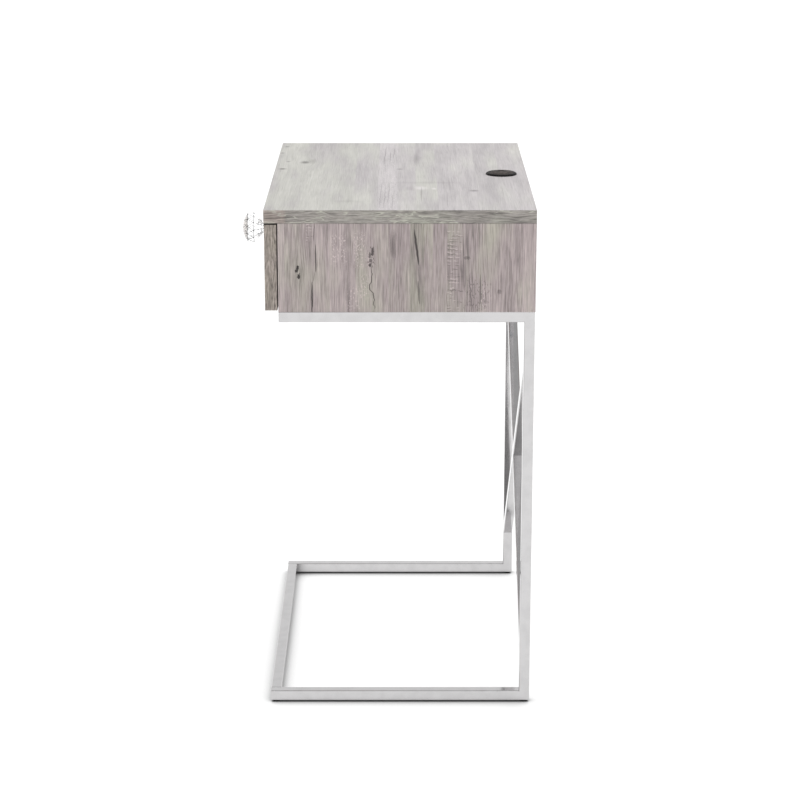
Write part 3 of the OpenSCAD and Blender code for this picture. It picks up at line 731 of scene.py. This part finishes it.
def prism(outline, across, low, high):
    """A closed form: an outline in two axes, drawn out along the third from low to high."""
    bm = bmesh.new()
    loops = []
    for depth in (low, high):
        corners = []
        for first, second in outline:
            point = (depth, first, second) if across == "x" else (first, depth, second)
            corners.append(bm.verts.new(point))
        loops.append(corners)
    bm.faces.new(loops[0])
    bm.faces.new(loops[1])
    count = len(outline)
    for index in range(count):
        after = (index + 1) % count
        bm.faces.new((loops[0][index], loops[0][after], loops[1][after], loops[1][index]))
    return bm


def weigh_edges(bm):
    """Marks how round each edge gets: a tube's long edges, its ends, and no bevel at a mitre."""
    layer = bm.edges.layers.float.new("bevel_weight_edge")
    longest = max(edge.calc_length() for edge in bm.edges)
    for edge in bm.edges:
        along = edge.verts[1].co - edge.verts[0].co
        mitred = sum(abs(step) > SLOPE_STEP for step in along) > 1
        if edge.calc_length() > 0.5 * longest:
            edge[layer] = 1.0
        elif mitred:
            edge.smooth = False
        else:
            edge[layer] = END_RADIUS / TUBE_RADIUS


def tube_piece(name, outline, across, low, high, stands_for):
    """A square chrome tube in its CAD node's place, with well rounded long edges."""
    bm = prism(outline, across, low, high)
    weigh_edges(bm)
    piece = new_object(name, bm)
    smooth(piece)
    bevel = piece.modifiers.new("rounded_edges", "BEVEL")
    bevel.limit_method = "WEIGHT"
    bevel.width = TUBE_RADIUS
    bevel.segments = 4
    bevel.harden_normals = True
    piece.data.materials.append(MATERIALS["chrome_tube"])
    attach(piece, "table")
    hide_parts(stands_for)


def build_frame():
    """The steel frame's tubes, each in its CAD node's place."""
    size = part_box("front_floor_crossbar")[1].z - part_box("front_floor_crossbar")[0].z
    for side in ("left", "right"):
        low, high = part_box(side + "_leg")
        inner = high.y - size
        outline = [(high.y, low.z), (high.y, high.z), (inner, high.z - size), (inner, low.z + size)]
        tube_piece(side + "_leg_tube", outline, "x", low.x, high.x, side + "_leg")
        low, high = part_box(side + "_top_rail")
        outline = [(low.y, low.z), (high.y - size, low.z), (high.y, high.z), (low.y, high.z)]
        tube_piece(side + "_top_rail_tube", outline, "x", low.x, high.x, side + "_top_rail")
        low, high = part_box(side + "_floor_rail")
        outline = [(low.y, low.z), (high.y, low.z), (high.y - size, high.z), (low.y, high.z)]
        tube_piece(side + "_floor_rail_tube", outline, "x", low.x, high.x, side + "_floor_rail")
    for name in ("front_top_crossbar", "rear_top_crossbar", "front_floor_crossbar"):
        low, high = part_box(name)
        outline = [(low.x, low.z), (high.x, low.z), (high.x, high.z), (low.x, high.z)]
        tube_piece(name + "_tube", outline, "y", low.y, high.y, name)


def build_brace():
    """The rear cross brace. The rising bar runs through, and the falling one is two halves."""
    low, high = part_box("brace_bar_rising")
    size = high.y - low.y
    reach = high.x
    middle = (low.z + high.z) / 2
    rise = high.z - middle
    # the bar's upright half thickness h and its slope hold: slope * reach + h = rise
    angle = math.atan2(rise, reach) - math.asin(size / 2 / math.hypot(reach, rise))
    slope = math.tan(angle)
    half = size / 2 / math.cos(angle)
    rising = [(reach, slope * reach + half), (reach, slope * reach - half),
              (-reach, -slope * reach - half), (-reach, -slope * reach + half)]
    upper = [(-reach, slope * reach + half), (-reach, slope * reach - half),
             (-half / slope, 0.0), (0.0, half)]
    lower = [(-x, -z) for x, z in upper]
    for name, outline in (("rising", rising), ("falling_upper", upper), ("falling_lower", lower)):
        lifted = [(x, z + middle) for x, z in outline]
        tube_piece("brace_tube_" + name, lifted, "y", low.y, high.y, "brace_bar_" + name)


FACETS = 12
# share of the widest radius, share of the height above the base, and turn in half facets
CRYSTAL_RINGS = ((0.288, 0.0, 0), (0.535, 0.121, 0), (1.0, 0.472, 0), (0.955, 0.80, 1),
                 (0.66, 0.925, 0), (0.414, 1.0, 1))
ARRIS = 0.34 * MM
FACET_ANGLE = 8.0


def join_rings(bm, below, above, turn_below, turn_above):
    """The facets between two rings: quads, or triangles where one ring is turned."""
    for step in range(FACETS):
        after = (step + 1) % FACETS
        if turn_below == turn_above:
            bm.faces.new((below[step], below[after], above[after], above[step]))
        elif turn_above > turn_below:
            bm.faces.new((below[step], below[after], above[step]))
            bm.faces.new((below[after], above[after], above[step]))
        else:
            bm.faces.new((below[step], above[after], above[step]))
            bm.faces.new((below[step], below[after], above[after]))


def build_crystal():
    """A cut glass knob: a flat table, a zigzag crown and girdle, and a pavilion below."""
    low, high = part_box("knob_crystal")
    centre_x = (low.x + high.x) / 2
    centre_z = (low.z + high.z) / 2
    widest = (high.x - low.x) / 2
    depth = high.y - low.y
    bm = bmesh.new()
    loops = []
    turns = []
    for radius, height, turn in CRYSTAL_RINGS:
        loop = []
        for step in range(FACETS):
            angle = (step + turn / 2) * 2 * math.pi / FACETS
            loop.append(bm.verts.new((centre_x + widest * radius * math.cos(angle),
                                      high.y - depth * height,
                                      centre_z + widest * radius * math.sin(angle))))
        loops.append(loop)
        turns.append(turn)
    bm.faces.new(loops[0])
    bm.faces.new(loops[-1])
    for pair in zip(loops, loops[1:], turns, turns[1:]):
        join_rings(bm, *pair)
    piece = new_object("cut_crystal", bm)
    bevel = piece.modifiers.new("polished_edges", "BEVEL")
    bevel.limit_method = "ANGLE"
    bevel.angle_limit = math.radians(FACET_ANGLE)
    bevel.width = ARRIS
    bevel.segments = 1
    bevel.material = 1
    piece.data.materials.append(MATERIALS["crystal"])
    # painted shade: the arrises get a dark, half clear glass, which draws thin grey lines along the
    # facet edges
    piece.data.materials.append(crystal_glass("crystal_arris_painted_shade", 0.03, 0.6, clear=0.5))
    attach(piece, "drawer")
    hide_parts("knob_crystal")


BOARDS = ("top_panel", "left_side_panel", "right_side_panel", "bottom_panel", "drawer_front")
BOARD_RADIUS = 0.55 * MM
SHARP_ANGLE = 35.0
WELD_DISTANCE = 0.001 * MM


def soften(name):
    """Rounds a CAD board's sharp edges a little."""
    piece = nodes[name]
    weld = piece.modifiers.new("joined_faces", "WELD")
    weld.merge_threshold = WELD_DISTANCE
    bevel = piece.modifiers.new("soft_edges", "BEVEL")
    bevel.limit_method = "ANGLE"
    bevel.angle_limit = math.radians(SHARP_ANGLE)
    bevel.width = BOARD_RADIUS
    bevel.segments = 2


def dress(name, material):
    """Gives a CAD node one material in place of its own."""
    piece = nodes[name]
    piece.data.materials.clear()
    piece.data.materials.append(material)


def dress_nodes():
    """Dresses each CAD node by its material slot, and then the few that differ from their slot."""
    slots = {name: piece.data.materials[0].name for name, piece in nodes.items()}
    for name, slot in slots.items():
        dress(name, MATERIALS[slot.split(".")[0]])
    dress("top_panel", OAK_TOP)
    dress("drawer_front", OAK_FRONT)
    dress("frame_screws", MATERIALS["zinc_plate"])


# ---- floor ----

FLOOR_REACH = 40.0
FLOOR_GREY = 0.25
FLOOR_GLOW = 0.72
# how near the table stands, in m, where the floor's glow fades into a contact shadow
SHADOW_REACH = 0.038


def make_floor():
    """A pale floor that is as bright as the studio, with a soft shadow close to the table."""
    bm = bmesh.new()
    corners = [bm.verts.new((x, y, 0.0)) for x, y in ((-1, -1), (1, -1), (1, 1), (-1, 1))]
    bm.faces.new(corners)
    floor = new_object("studio_floor", bm)
    floor.scale = (FLOOR_REACH, FLOOR_REACH, 1.0)
    s = Surface("studio_floor")
    near = s.node("AmbientOcclusion", {"Distance": SHADOW_REACH}, output="AO")
    s.set(Base_Color=(FLOOR_GREY, FLOOR_GREY, FLOOR_GREY, 1.0), Roughness=1.0)
    s.set(Specular_IOR_Level=0.0)
    s.set(Emission_Color=WHITE, Emission_Strength=s.fade(near, 0.22, 0.95, 0.0, FLOOR_GLOW))
    floor.data.materials.append(s.material)


# ---- the scene ----

make_camera()
make_world(SKY_LEVEL, SKY_OVERHEAD)
make_sun("overhead", SUN_STRENGTH, SUN_ANGLE, SUN_TILT, SUN_TURN)
scene.view_settings.view_transform = "Standard"

dress_nodes()
build_frame()
build_brace()
build_crystal()
for board in BOARDS:
    soften(board)
make_floor()
